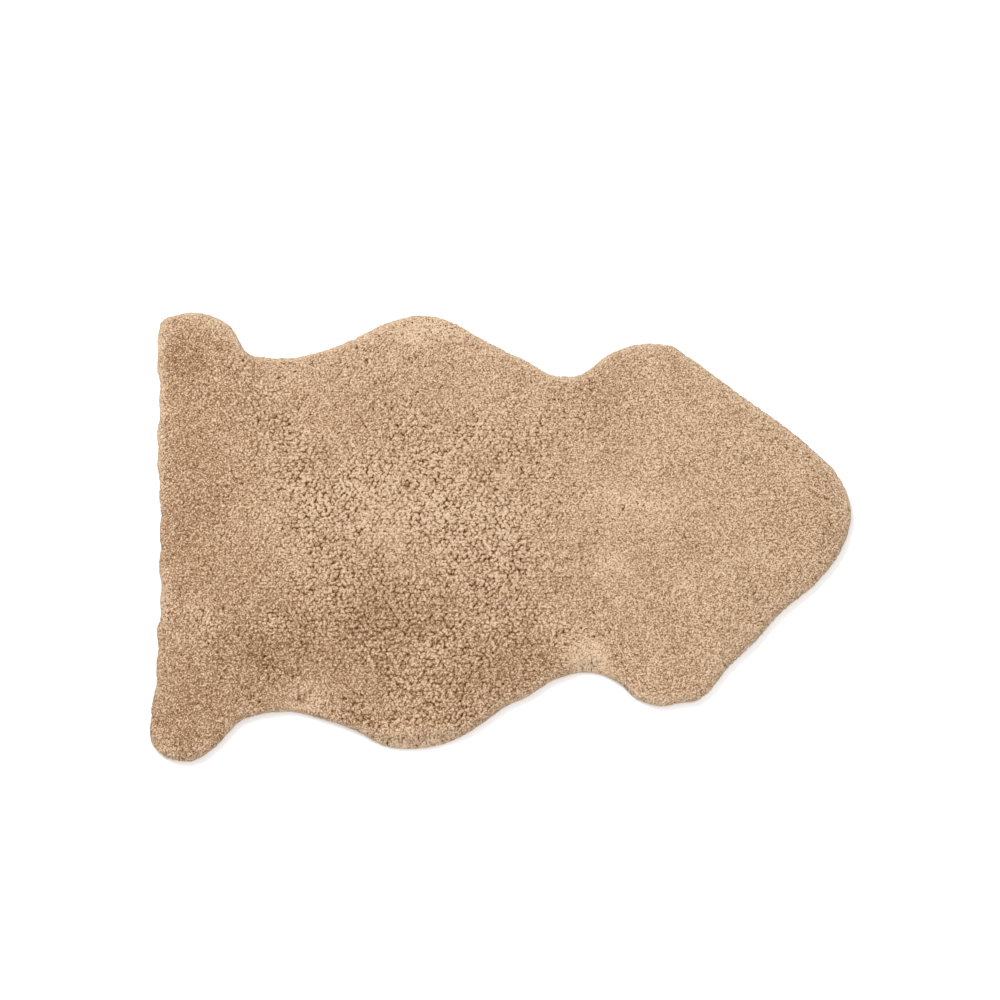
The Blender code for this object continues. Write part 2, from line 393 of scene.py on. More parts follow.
# %% [markdown]
# ## Bold, calm and combed wool
# The fleece isn't the same all over. Where it is bold, the lumps are large with deep creases
# between them, and where it is calm, they are finer. In a few places near the edge the wool
# has been combed straight outwards, and there the pile slopes down to the floor instead of
# standing upright. How bold and how combed it is are two numbers between 0 and 1 for every
# place on the pelt. They could be painted by hand. Formulas can be read and changed.

# %% Two soft tools


def smooth_step(value, low, high):
    """0 below low, 1 above high, and 3 s^2 - 2 s^3 between them."""
    s = np.clip((value - low) / (high - low), 0.0, 1.0)
    return s * s * (3.0 - 2.0 * s)


def soft_noise(points, wavelength, seed):
    """A smooth random field, about -1 to 1: the sum of plane waves of nearly one wavelength
    that run in random directions, each sin(k . p + phase), over the root of twice their
    number."""
    waves = 9
    chance = np.random.default_rng(seed)
    heading = chance.uniform(0.0, 2.0 * math.pi, waves)
    length = wavelength * chance.uniform(0.7, 1.5, waves)
    phase = chance.uniform(0.0, 2.0 * math.pi, waves)
    k = 2.0 * math.pi / length * np.stack([np.cos(heading), np.sin(heading)])
    return np.sin(points @ k + phase).sum(axis=1) / math.sqrt(2.0 * waves)


print("noise at the origin:", soft_noise(MIDDLE, 0.1, 3).round(3))

# %% [markdown]
# Loin, belly and right flank are the boldest, and shoulder and neck the calmest. So the
# wool is bold at first, and three directions in a table calm it down. The combed places are
# few, and they are soft spots in a table of their own.

# %% Where the wool is bold, and where it is combed
# (direction along and across, where it starts to calm, where it is calm, by how much)
CALMER = (
    (0.0, 1.0, 50.0, 250.0, 0.50),  # left flank
    (-1.0, 0.0, 200.0, 360.0, 0.40),  # rump
    (1.0, 0.0, -20.0, 200.0, 0.85),  # shoulder and neck
)
LEAST_BOLD = 0.05
# (along, across, reach along, reach across), in millimetres
COMBED = (
    (-105.0, -300.0, 70.0, 24.0),  # under the belly
    (116.0, -183.0, 26.0, 26.0),  # the waist of the right flank
    (-255.0, -232.0, 34.0, 20.0),  # hollow of the right flank
    (-452.0, -97.0, 12.0, 28.0),  # cut end
)


def boldness(points):
    """How boldly the wool curls, from 0 to 1: 1 less the strongest calm, which is a smooth
    step along its direction, plus random changes of two wavelengths."""
    calm = [
        most * smooth_step(points @ (along, across), start * MM, end * MM)
        for along, across, start, end, most in CALMER
    ]
    own = 0.20 * soft_noise(points, 0.16, 3) + 0.14 * soft_noise(points, 0.04, 4)
    return np.clip(1.0 - np.maximum.reduce(calm) + own, LEAST_BOLD, 1.0)


def combing(points):
    """How straight the wool is combed: the largest of exp(-(distance / reach)^4) over the
    spots, with the distance measured along and across in each spot's own reach."""
    spots = np.array(COMBED) * MM
    away = (((points[:, None] - spots[None, :, :2]) / spots[None, :, 2:]) ** 2).sum(axis=-1)
    return np.exp(-(away**2)).max(axis=1)


print("over the pelt's middle the wool is", boldness(MIDDLE).round(2), "bold")

# %% [markdown]
# ## The skin
# Under the wool lies the skin, a sheet 2.5 mm thick with the pelt's outline, cut a little
# short of the wool's edge. It could be one large face, but that bends and shades badly. A
# sheet with four curved sides can be worked out from its sides alone, so the edge is first
# divided into two flanks, the neck and the cut end.

# %% The sides of the skin
STEPS_ALONG = 80
STEPS_ACROSS = 50
NECK_CORNERS = ((448.0, -29.0), (448.0, 82.0))


def four_sides(inset):
    """The edge, moved inwards by inset, as one ring that starts at the right corner of the
    cut end and runs along the right flank, round the neck, back along the left flank and
    down the cut end. The flanks have STEPS_ALONG steps, the ends STEPS_ACROSS."""
    corners = np.array([CUT_END[-1], *NECK_CORNERS, CUT_END[0]]) * MM
    ring = EDGE - outward(EDGE) * inset
    start = [np.linalg.norm(EDGE - corner, axis=1).argmin() for corner in corners]
    sides = []
    steps = (STEPS_ALONG, STEPS_ACROSS, STEPS_ALONG, STEPS_ACROSS)
    for first, last, count in zip(start, start[1:] + start[:1], steps):
        span = (last - first) % len(ring)
        side = ring[(first + np.arange(span + 1)) % len(ring)]
        run = np.concatenate([[0.0], np.cumsum(np.linalg.norm(np.diff(side, axis=0), axis=1))])
        places = np.linspace(0.0, run[-1], count + 1)[:-1]
        sides.append(np.column_stack([np.interp(places, run, side[:, axis]) for axis in (0, 1)]))
    return np.vstack(sides)


def ring_numbers():
    """The four sides' points as numbers in a grid of STEPS_ALONG + 1 columns."""
    columns, rows = STEPS_ALONG + 1, STEPS_ACROSS + 1
    grid = np.arange(rows * columns).reshape(rows, columns)
    return np.concatenate([grid[0, :-1], grid[:-1, -1], grid[-1, :0:-1], grid[:0:-1, 0]])


print("the skin's rim has", len(ring_numbers()), "points")

# %% [markdown]
# A Coons patch fills the ring: blend the two flanks, blend the cut end and the neck, add
# both and take away the blend of the four corners. One patch on the floor, one above it
# and a wall between them make a closed sheet.

# %% The skin
SKIN_INSET = 14.0 * MM
SKIN_BEVEL = 0.5 * MM  # how much further the skin's upper side reaches
SKIN_THICKNESS = 2.5 * MM


def coons_patch(ring):
    """The surface between the ring's four sides at (u, v): (1 - v) right(u) + v left(u)
    + (1 - u) cut(v) + u neck(v), less the four corners blended by u and v."""
    columns, rows = STEPS_ALONG + 1, STEPS_ACROSS + 1
    rim = np.empty((rows * columns, 2))
    rim[ring_numbers()] = ring
    rim = rim.reshape(rows, columns, 2)
    u = np.linspace(0.0, 1.0, columns)[None, :, None]
    v = np.linspace(0.0, 1.0, rows)[:, None, None]
    flanks = (1 - v) * rim[:1] + v * rim[-1:]
    ends = (1 - u) * rim[:, :1] + u * rim[:, -1:]
    right = (1 - u) * rim[0, 0] + u * rim[0, -1]
    left = (1 - u) * rim[-1, 0] + u * rim[-1, -1]
    return (flanks + ends - ((1 - v) * right + v * left)).reshape(-1, 2)


def flat_sheet(name):
    """A closed flat sheet: a patch on the floor, one above it, and a wall between them."""
    grid = np.arange((STEPS_ALONG + 1) * (STEPS_ACROSS + 1)).reshape(STEPS_ACROSS + 1, -1)
    quads = np.stack([grid[:-1, :-1], grid[:-1, 1:], grid[1:, 1:], grid[1:, :-1]], -1).reshape(-1, 4)
    insets = (SKIN_INSET, SKIN_INSET - SKIN_BEVEL)
    lower, upper = (coons_patch(four_sides(inset)) for inset in insets)
    points = np.zeros((2 * len(lower), 3))
    points[:, :2] = np.vstack([lower, upper])
    points[len(lower) :, 2] = SKIN_THICKNESS
    rim = ring_numbers()
    above = rim + len(lower)
    wall = np.stack([rim, np.roll(rim, -1), np.roll(above, -1), above], -1)
    faces = np.vstack([quads[:, ::-1], len(lower) + quads, wall])
    return mesh_piece(name, points, faces.ravel(), np.full(len(faces), 4))


skin = flat_sheet("skin")
print("the skin has", len(skin.data.polygons), "faces")

# %% [markdown]
# ## The side of the pile
# At the edge the pile rounds off and falls to the floor. It helps to think of the wool as
# spread out flat, with a border wide enough for its side, and then laid over the pelt: the
# border hangs down. The shape of the side is a profile, a short table of insets and
# heights, with its corners rounded off.

# %% The profile of the side
FULL_HEIGHT = 27.0 * MM
# From the top to the floor: (inset from the wool's edge, how much more where the wool is
# combed, height); the last two lie under the wool
PILE_SIDE = (
    (13.5, 8.0, 27.0),
    (9.2, 9.0, 26.2),
    (5.6, 9.0, 24.2),
    (3.0, 8.5, 21.0),
    (1.3, 7.0, 17.0),
    (0.6, 5.0, 12.5),
    (0.6, 2.6, 8.0),
    (1.5, 0.8, 3.9),
    (3.5, 1.0, 2.9),
    (16.0, 6.0, 2.9),
)
SIDE_ROUNDING = 5.0 * MM
SIDE_STEP = 0.5 * MM


def unit(vectors):
    """The vectors, each divided by its own length."""
    return vectors / np.linalg.norm(vectors, axis=-1, keepdims=True)


def side_profile(insets, heights):
    """The profile as even steps of SIDE_STEP along it, its corners rounded off by a mean over
    SIDE_ROUNDING. A row is (how far down the side, inset, height, and the outward and the
    upward part of the normal, which is the slope turned by a quarter turn)."""
    insets = np.concatenate([[insets[0] + 2.0 * SIDE_ROUNDING], insets])
    heights = np.concatenate([[heights[0]], heights])
    run = np.concatenate([[0.0], np.cumsum(np.hypot(np.diff(insets), np.diff(heights)))])
    arc = np.arange(0.0, run[-1], SIDE_STEP)
    window = np.hanning(int(SIDE_ROUNDING / SIDE_STEP) + 2)
    window /= window.sum()
    rounded = [np.convolve(np.interp(arc, run, line), window, "valid") for line in (insets, heights)]
    arc = arc[len(window) // 2 :][: len(rounded[0])] - 2.0 * SIDE_ROUNDING
    outer, down = unit(np.stack([-np.gradient(rounded[0]), -np.gradient(rounded[1])], -1)).T
    return np.stack([arc, *rounded, down, outer])


insets, more, heights = np.array(PILE_SIDE).T * MM
STEEP_SIDE = side_profile(insets, heights)
COMBED_SIDE = side_profile(insets + more, heights)
print(f"down the side it is {1000.0 * STEEP_SIDE[0, -1]:.0f} mm, {1000.0 * COMBED_SIDE[0, -1]:.0f} combed")

# %% [markdown]
# Laying the wool over the pelt is then a matter of reading the profile. Each point asks how
# far it lies beyond the shoulder, and gets its inset, its height and its normal from there.

# %% Laying the wool over the edge


def combing_of_spread(spread):
    """The combing at each place of the spread-out wool: beyond the edge, that of the edge."""
    depth, out_x, out_y, _, _ = look_up(spread).T
    outside = np.minimum(depth, 0.0)[:, None]
    return combing(spread + unit(np.column_stack([out_x, out_y])) * outside)


def lay(spread):
    """Where the points of the spread-out wool come to lie: their places, the normals there
    and how far down the side they are. Inside the shoulder the places stay, at the pelt's
    own height. Beyond it they follow the profile, measured from the nearest place on the
    edge."""
    depth, out_x, out_y, top, _ = look_up(spread).T
    out = unit(np.column_stack([out_x, out_y]))
    edge = spread + out * depth[:, None]
    combed = combing_of_spread(spread)
    arc = (PILE_SIDE[0][0] + PILE_SIDE[0][1] * combed) * MM - depth
    steep, sloped = (
        np.stack([np.interp(arc, side[0], line) for line in side[1:]])
        for side in (STEEP_SIDE, COMBED_SIDE)
    )
    inset, height, outer, upper = steep + combed * (sloped - steep)
    inner = arc < STEEP_SIDE[0, 0]
    place = np.where(inner[:, None], spread, edge - out * inset[:, None])
    height = height + (top - FULL_HEIGHT) * (height / FULL_HEIGHT) ** 2
    normal = unit(np.column_stack([out * outer[:, None], upper]))
    return np.column_stack([place, height]), normal, arc


print("the top of the wool at the origin, in metres:", lay(MIDDLE)[0].round(4))

# %% [markdown]
# ## The mass of the wool
# Shorn wool is a field of small rounded lumps with thin dark lines between them. They could
# be thousands of small objects, but they grow out of one mass, and separate ones look like
# grains. So one lump is a dome over a bent ellipse, many of them stand on a lattice whose
# places are moved at random, and the surface is the highest dome at each point. Neighbours
# then meet in a sharp crease.

# %% A field of lumps
LUMP_JITTER = 0.30  # how far a lump's middle strays, in pitches
LUMP_LONG = 0.72  # half the length and half the width of a lump, in pitches
LUMP_WIDE = 0.56
SLIM_WIDE = 0.60  # how much narrower a lump gets as it gets longer
LUMP_BEND = 0.60
OWN_LONG = 0.14  # how much lumps differ in length, width and height
OWN_WIDE = 0.07
OWN_HEIGHT = 0.20
ROW_APART = math.sqrt(0.75)  # distance between two rows of a triangular lattice, in pitches
FAR_BELOW = -9.0


def lumps(points, pitch, slim, seed):
    """The highest and the second highest dome at each point, and of the highest one a random
    number, its middle's x and y, and its turn. A dome is 1 + own - (u / a)^2 - (v / b)^2 in
    the pitch's units, with u and v measured along and across it, and v bent by u^2. The
    slimmer, the longer a and the shorter b."""
    chance = np.random.default_rng(seed)
    at = (points - MAP_CORNER) / (pitch, pitch * ROW_APART)
    columns, rows = np.ceil(at.max(axis=0)).astype(int) + 6
    random = chance.uniform(-1.0, 1.0, (columns, rows, 7))
    best, second = np.full(len(points), FAR_BELOW), np.full(len(points), FAR_BELOW)
    lump = np.zeros((len(points), 4))
    row = np.floor(at[:, 1]).astype(int) + 2
    for j in (row - 1, row, row + 1):
        shift = 0.5 * (j % 2)
        column = np.floor(at[:, 0] - shift).astype(int) + 2
        for i in (column - 1, column, column + 1):
            own = random[i, j]
            x = at[:, 0] - (i - 2 + 0.5 + shift + LUMP_JITTER * own[:, 0])
            y = (at[:, 1] - (j - 2 + 0.5 + LUMP_JITTER * own[:, 1])) * ROW_APART
            turn = math.pi * own[:, 2]
            u = np.cos(turn) * x + np.sin(turn) * y
            v = np.cos(turn) * y - np.sin(turn) * x - LUMP_BEND * own[:, 3] * u * u
            long = LUMP_LONG + slim + OWN_LONG * own[:, 4]
            wide = LUMP_WIDE - SLIM_WIDE * slim + OWN_WIDE * own[:, 5]
            dome = 1.0 + OWN_HEIGHT * own[:, 6] - (u / long) ** 2 - (v / wide) ** 2
            wins = dome > best
            second = np.where(wins, best, np.maximum(second, dome))
            best = np.where(wins, dome, best)
            middle = points - np.stack([x * pitch, y * pitch], -1)
            mark = own[:, 0] * 7.0 % 1.0  # as good as a new random number
            lump = np.where(wins[:, None], np.column_stack([mark, middle, turn]), lump)
    return best, second, lump


print("the dome over the origin is", lumps(MIDDLE, 0.006, 0.0, 1)[0].round(2), "high")

# %% [markdown]
# Bold wool has large lumps, and calm wool has small, low ones. Combed wool, and all wool
# down the side of the pile, lies in strands: lumps in a picture of the pelt whose axes run
# in from the edge, squeezed, and along the edge. One field of lumps could be stretched from
# place to place, but a changing pitch tears its lattice. So there are three even fields.

# %% The three fields
BOLD_PITCH = 6.2 * MM
BOLD_SLIM = 0.03
BOLD_HEIGHT = 3.2 * MM
CALM_PITCH = 4.9 * MM
CALM_SLIM = 0.09
CALM_HEIGHT = 2.5 * MM
STRAND_PITCH = 4.0 * MM
STRAND_LONG = 4.5
STRAND_HEIGHT = 2.4 * MM
RIM_STRANDS = 7.0 * MM  # how far in from the edge the wool lies in strands


def wool_fields(points):
    """The three fields, each as (places, pitch, slim, height, how absent it is at each
    point), and how bold and how combed the wool is. Near the rim it is combed by
    exp(-(depth / RIM_STRANDS)^2), with random changes."""
    depth, _, _, _, run = look_up(points).T
    rim = np.exp(-((np.maximum(depth, 0.0) / RIM_STRANDS) ** 2))
    rim *= 0.65 + 0.35 * soft_noise(points, 0.05, 18)
    bold = boldness(points)
    combed = np.clip(np.maximum(combing_of_spread(points), rim), 0.0, 1.0)
    strands = np.stack([depth / STRAND_LONG, run], -1)
    fields = (
        (points, BOLD_PITCH, BOLD_SLIM, BOLD_HEIGHT, np.maximum(1.0 - bold, combed)),
        (points, CALM_PITCH, CALM_SLIM, CALM_HEIGHT, np.maximum(bold, combed)),
        (strands, STRAND_PITCH, 0.0, STRAND_HEIGHT, 1.0 - combed),
    )
    return fields, bold, combed


print(f"bold lumps stand {BOLD_PITCH / MM:.1f} mm apart, calm ones {CALM_PITCH / MM:.1f} mm")

# %% [markdown]
# All three fields are worked out everywhere, and the surface is the highest of them. Where
# one rules, the others are sunk so far that they hardly show, so the fields run into each
# other without a seam.

# %% The highest of the fields
SUNK = 3.0 * MM
LUMP_FULL = 1.6
SEED = 11


def fall(dome):
    """How far below its crest a lump's surface lies: 1 - dome, bent so that lumps are full."""
    below = 1.0 - dome
    return np.sign(below) * np.abs(below) ** LUMP_FULL


def highest(fields):
    """The highest and the second highest surface of all fields at each point, the lump that
    the highest belongs to, and how far below its crest the point lies."""
    count = len(fields[0][0])
    first, second = np.full(count, FAR_BELOW), np.full(count, FAR_BELOW)
    lump, share = np.zeros((count, 4)), np.zeros(count)
    for seed, (places, pitch, slim, height, absent) in enumerate(fields, SEED):
        best, next_best, found = lumps(places, pitch, slim, seed)
        level, next_level = (-fall(dome) * height - absent * SUNK for dome in (best, next_best))
        wins = level > first
        second = np.maximum(np.where(wins, first, np.maximum(second, level)), next_level)
        first = np.where(wins, level, first)
        lump = np.where(wins[:, None], found, lump)
        share = np.where(wins, fall(best), share)
    return first, second, lump, share


surface = highest(wool_fields(MIDDLE)[0])[0]
print("at the origin the highest field reaches", (1000.0 * surface).round(2), "mm")

# %% [markdown]
# Light and eye find the creases between lumps first, so a painted shade is kept as a number
# for the material: more of it the further down its lump a point lies, plus a thin line where
# two lumps meet. Bold wool gets more of it than calm wool. Larger tufts lift groups of lumps.

# %% Height and depth of the wool
TUFT_PITCH = 12.0 * MM
TUFT_HEIGHT = 0.8 * MM
UNEVEN_LENGTH = 22.0 * MM
UNEVEN_HEIGHT = 0.4 * MM
CREASE_WIDTH = 0.35 * MM
# The strength of the painted shade in calm and in bold wool
CALM_PAINTED_SHADE = 0.54
BOLD_PAINTED_SHADE = 0.88
COMBED_SHADE_CUT = 0.5  # how much less of it there is where the wool is combed
DOME_SHARE = 0.80
CREASE_SHARE = 0.30


def relief(points):
    """The wool's height over the laid surface, the painted shade of each point (0 to 1), and its
    lump's random number, middle and turn. The height is the highest field, raised by what even
    the ruling field is sunk, plus the tufts and a soft noise. The painted shade is DOME_SHARE
    times the fall below the crest, plus CREASE_SHARE times exp(-(how far the first surface
    lies above the second, over CREASE_WIDTH)^2): light crests, dark creases."""
    fields, bold, combed = wool_fields(points)
    first, second, lump, share = highest(fields)
    tuft, _, _ = lumps(points, TUFT_PITCH, 0.0, SEED + len(fields))
    tufted = np.clip(tuft - 1.0, -1.0, 0.0) * TUFT_HEIGHT * bold
    sunk = SUNK * np.minimum.reduce([field[-1] for field in fields])
    height = first + sunk + tufted + UNEVEN_HEIGHT * soft_noise(points, UNEVEN_LENGTH, 17)
    crease = np.exp(-(((first - second) / CREASE_WIDTH) ** 2))
    shade_strength = CALM_PAINTED_SHADE + BOLD_PAINTED_SHADE * smooth_step(bold, 0.0, 0.6)
    shade_strength *= 1.0 - COMBED_SHADE_CUT * combed
    # The painted shade: darker down the flanks of each lump and in the creases between lumps
    painted_shade = np.clip((DOME_SHARE * share + CREASE_SHARE * crease) * shade_strength, 0.0, 1.0)
    return height, painted_shade, lump


print("at the origin the relief is", (1000.0 * relief(MIDDLE)[0]).round(2), "mm high")

# %% [markdown]
# ## Pale and dark patches
# Wool isn't one colour: the rug is paler in some patches and darker in others, and where the
# pile opens, the paler side of the locks shows. A texture could be painted for this. The
# patches are few, so they are written down as soft round spots, some paler and some darker.

# %% The patches
# (along, across, reach along, reach across, how much paler), in millimetres but for the last
PATCHES = (
    (-150.0, 30.0, 150.0, 45.0, 0.25),  # middle of the back
    (185.0, 30.0, 60.0, 30.0, 0.30),
    (145.0, -55.0, 22.0, 20.0, 0.35),
    (5.0, -20.0, 12.0, 90.0, 0.20),  # a parting across the back
    (-95.0, 285.0, 60.0, 22.0, 0.45),  # left belly
    (-400.0, 295.0, 30.0, 20.0, 0.25),
    (-448.0, -80.0, 12.0, 35.0, 0.40),  # cut end
    (-390.0, -130.0, 30.0, 22.0, 0.30),
    (-95.0, -170.0, 28.0, 20.0, 0.30),
    (115.0, -175.0, 20.0, 22.0, 0.35),  # the waist of the right flank
    (-300.0, -175.0, 80.0, 50.0, -0.32),  # right loin
    (-170.0, -210.0, 240.0, 120.0, -0.28),
    (-150.0, -120.0, 80.0, 45.0, -0.30),
    (-410.0, -260.0, 55.0, 60.0, -0.40),
    (10.0, -185.0, 60.0, 30.0, -0.28),
    (-430.0, 245.0, 18.0, 40.0, -0.40),  # corner of the left tab
    (-430.0, 0.0, 30.0, 40.0, -0.10),
    (-190.0, 175.0, 60.0, 35.0, -0.20),
    (145.0, 185.0, 50.0, 30.0, -0.15),
    (425.0, -5.0, 20.0, 18.0, -0.25),
    (-420.0, 60.0, 90.0, 210.0, -0.42),  # rump
)
print("the wool has", len(PATCHES), "patches")

# %% [markdown]
# The rim is pale too: its fibres are paler all round, and on the left flank, where light
# comes through the thin side of the pile, it is painted paler still as painted light. Round
# spots would look stamped, so a noise moves their outlines.

# %% How pale the wool is
BASE_PALE = 0.05
PATCH_STRENGTH = 2.0
PATCH_BEND = 14.0 * MM  # how far a noise moves the spots' outlines
RIM_PALE_AND_LIGHT = 0.90
RIM_PALE_AND_LIGHT_WIDTH = 11.0 * MM
COMBED_PALE = 0.35


def paleness(points, depth, combed):
    """The patches, each falling off as exp(-(distance / reach)^2) from places that a noise
    has moved, plus a pale band along the rim, palest on the left flank, where it is painted
    light, plus the combed wool."""
    bend = np.stack([soft_noise(points, 0.07, 15), soft_noise(points, 0.07, 16)], axis=-1)
    spots = np.array(PATCHES)
    away = (points + PATCH_BEND * bend)[:, None] - spots[None, :, :2] * MM
    shares = np.exp(-((away / (spots[None, :, 2:4] * MM)) ** 2).sum(axis=-1))
    # A pale band along the rim, all round; its extra on the left flank is painted light
    rim = RIM_PALE_AND_LIGHT * np.exp(-((np.maximum(depth, 0.0) / RIM_PALE_AND_LIGHT_WIDTH) ** 2))
    rim *= 0.3 + 0.7 * smooth_step(points[:, 1], -0.05, 0.10)
    cloudy = 0.09 * soft_noise(points, 0.06, 5) + 0.09 * soft_noise(points, 0.025, 6)
    return BASE_PALE + PATCH_STRENGTH * (shares @ spots[:, 4]) + rim + COMBED_PALE * combed + cloudy


depth_there = look_up(MIDDLE)[:, 0]
print("the middle is pale by", paleness(MIDDLE, depth_there, combing(MIDDLE)).round(2))

# %% [markdown]
# ## The wool in regions
# The wool could be one mesh, but a mesh of a million faces is hard to handle. So it is made
# in six regions along the back, as a furrier names them. Each region is a grid of points on
# the spread-out wool, closed below by a strip of long faces and at both ends by one wall.

# %% The grid of a region
GRAIN = 1.25 * MM
ROWS = 540
BORDER = 26.0 * MM  # how far the spread-out wool reaches past the edge
NO_CROSSING = 9.0


def spread_reach(x):
    """How far the spread-out wool reaches to the right and to the left at each x: the lowest
    and the highest crossing with the edge moved out by BORDER."""
    ring = EDGE + outward(EDGE) * BORDER
    after = np.roll(ring, -1, axis=0)
    crossed = (ring[:, 0] > x[:, None]) != (after[:, 0] > x[:, None])
    run = np.where(crossed, after[:, 0] - ring[:, 0], 1.0)
    y = ring[:, 1] + (x[:, None] - ring[:, 0]) / run * (after[:, 1] - ring[:, 1])
    lowest, highest_y = np.where(crossed, y, NO_CROSSING), np.where(crossed, y, -NO_CROSSING)
    return lowest.min(axis=1), highest_y.max(axis=1)


def region_spread(start, end):
    """The region's places on the spread-out wool, column by column along the back, with one
    column more beyond each end. In a column they are ROWS even steps from right to left."""
    x = np.linspace(start, end, round((end - start) / GRAIN) + 1)
    x = np.concatenate([[start - GRAIN], x, [end + GRAIN]])
    right, left = spread_reach(x)
    y = right[:, None] + (left - right)[:, None] * np.linspace(0.0, 1.0, ROWS)
    return np.stack([np.repeat(x, ROWS), y.ravel()], -1)


def region_faces(columns):
    """The faces over a grid of this many columns: the quads on top, the strip under them,
    and the points round each end wall."""
    grid = np.arange(columns * ROWS).reshape(columns, ROWS)
    top = np.stack([grid[:-1, :-1], grid[1:, :-1], grid[1:, 1:], grid[:-1, 1:]], -1).reshape(-1, 4)
    under = np.stack([grid[:-1, 0], grid[:-1, -1], grid[1:, -1], grid[1:, 0]], -1)
    return top, under, (grid[0], grid[-1, ::-1])


print("at the origin the spread-out wool reaches", *(side.round(3) for side in spread_reach(np.zeros(1))))

# %% [markdown]
# Each region has two UV maps. One is for baking the material into a picture: no two faces
# may share a place in it. The other follows the fibres: it is laid out along and across each
# lump, in millimetres, so that streaks run the way the lock lies.

# %% The two UV maps
FIBRE_SHIFT = 40.0  # millimetres, times the lump's random number
# The bands of the bake map, from below: two walls, the strip and the top
BAKE_MARGIN = 0.01
WALL_LEVELS = (0.01, 0.02)
WALL_BULGE = 0.008
STRIP_BAND = (0.03, 0.05)
TOP_START, TOP_HEIGHT = 0.06, 0.93


def bake_places(columns, top, under):
    """Each corner's place in the map for the bake: the top as the grid that it is, and below
    it the strip and the two walls, each a slim band of its own. The upper line of a wall is
    v = level + WALL_BULGE sin(pi share), with share running from 0 to 1."""
    share = np.linspace(0.0, 1.0, ROWS)
    across = np.linspace(BAKE_MARGIN, 1.0 - BAKE_MARGIN, columns)
    upward = TOP_START + TOP_HEIGHT * share
    u, v = (part.ravel() for part in np.meshgrid(across, upward, indexing="ij"))
    over = np.stack([u, v], -1)[top]
    low, high = STRIP_BAND
    strip = np.stack([u, np.where(v > 0.5, high, low)], -1)[under]
    round_wall = BAKE_MARGIN + (1.0 - 2.0 * BAKE_MARGIN) * share
    bulge = WALL_BULGE * np.sin(math.pi * share)
    walls = [np.stack([round_wall, level + bulge], -1) for level in WALL_LEVELS]
    return np.vstack([over.reshape(-1, 2), strip.reshape(-1, 2), *walls])


def fibre_places(spread, lump, corners, sizes):
    """Each corner's place along and across the lump that its face's first corner belongs to,
    moved by the lump's random number, so that no two lumps have the same streaks."""
    first = lump[corners[np.repeat(np.cumsum(sizes) - sizes, sizes)]]
    offset = (spread[corners] - first[:, 1:3]) / MM
    cos, sin = np.cos(first[:, 3]), np.sin(first[:, 3])
    along = cos * offset[:, 0] + sin * offset[:, 1]
    across = cos * offset[:, 1] - sin * offset[:, 0]
    return np.stack([along, across], -1) + FIBRE_SHIFT * first[:, :1]


print("a region's walls have", ROWS, "corners each")

# %% [markdown]
# Now a region is laid over the pelt and raised by the relief. Where it dips under the rug,
# the relief fades out. The column beyond each end dips under the neighbour's surface, so
# that no wall shows, and it is shaded flat, so that the wall doesn't bend the light.

# %% A region of wool
CREST = 0.8 * MM  # how far a full crest stands above the laid surface
FOOT = (27.0 * MM, 31.0 * MM)  # down the side, between these, the relief fades out
LOWEST = 0.5 * MM  # the wool keeps this far off the floor
SEAM_SINK = 2.0 * MM
OWN_PALE = 0.30
BOLD_PALE = 0.24


def region_points(spread):
    """The region's points in space, and the relief's painted shade and lumps: the laid place plus
    the normal times the relief, with the first and the last column sunk."""
    place, normal, arc = lay(spread)
    height, painted_shade, lump = relief(spread)
    standing = 1.0 - smooth_step(arc, *FOOT)
    points = place + normal * ((height + CREST) * standing)[:, None]
    points[:ROWS, 2] -= SEAM_SINK
    points[-ROWS:, 2] -= SEAM_SINK
    points[:, 2] = np.maximum(points[:, 2], LOWEST)
    return points, painted_shade, lump


def wool_region(name, start, end):
    """One closed region from start to end along the back, with both UV maps and, for each
    point, its painted shade, its lump's tone and how pale it is."""
    spread = region_spread(start, end)
    columns = len(spread) // ROWS
    points, painted_shade, lump = region_points(spread)
    top, under, walls = region_faces(columns)
    corners = np.concatenate([top.ravel(), under.ravel(), *walls])
    sizes = np.concatenate([np.full(len(top) + len(under), 4), [ROWS, ROWS]])
    smooth = np.zeros(len(sizes), bool)
    smooth[ROWS - 1 : len(top) - ROWS + 1] = True
    piece = mesh_piece(name, points, corners, sizes, smooth)
    add_uv(piece, "OFBake", bake_places(columns, top, under))
    add_uv(piece, "fibre", fibre_places(spread, lump, corners, sizes))

    pale = paleness(points[:, :2], look_up(spread)[:, 0], combing(points[:, :2]))
    pale = pale + OWN_PALE * (lump[:, 0] - 0.5) + BOLD_PALE * boldness(spread)
    for value_name, values in (("painted_shade", painted_shade), ("tone", lump[:, 0]), ("pale", pale)):
        add_value(piece, value_name, values)
    triangles = 2 * (len(top) + len(under) + ROWS - 2)
    print(f"{name}: {columns} by {ROWS} points, {triangles} triangles")
    return piece


# %% [markdown]
# The six regions run from the rump to the neck, each as long as the next, but for the two
# at the ends, which reach out past the edge.

# %% The six regions
REGION_ENDS = (-0.488, -0.32, -0.16, 0.0, 0.16, 0.32, 0.488)  # along the back
REGIONS = ("rump", "loin", "back", "withers", "shoulder", "neck")
wool_pieces = [
    wool_region(f"wool_{name}", start, end)
    for name, start, end in zip(REGIONS, REGION_ENDS, REGION_ENDS[1:])
]
print("the wool has", sum(len(piece.data.polygons) for piece in wool_pieces), "faces")

# %% [markdown]
# ## The finish of the wool
# A material that reads as wool needs four things: each lump with its own tone, streaks that
# run along it, a painted shade that makes the crease darker than the crest, and a fine fluff
# over all of it. A picture of wool could give them. Nodes give them at any size and from any
# side. The first helpers make one node each: any node by its name, a mix of two colours, and
# a value that is moved onto another range.

# %% Helpers that mix and stretch


def node(tree, kind, **inputs):
    """A shader node, with the values of its named inputs."""
    made = tree.nodes.new(kind)
    for name, value in inputs.items():
        made.inputs[name.replace("_", " ")].default_value = value
    return made


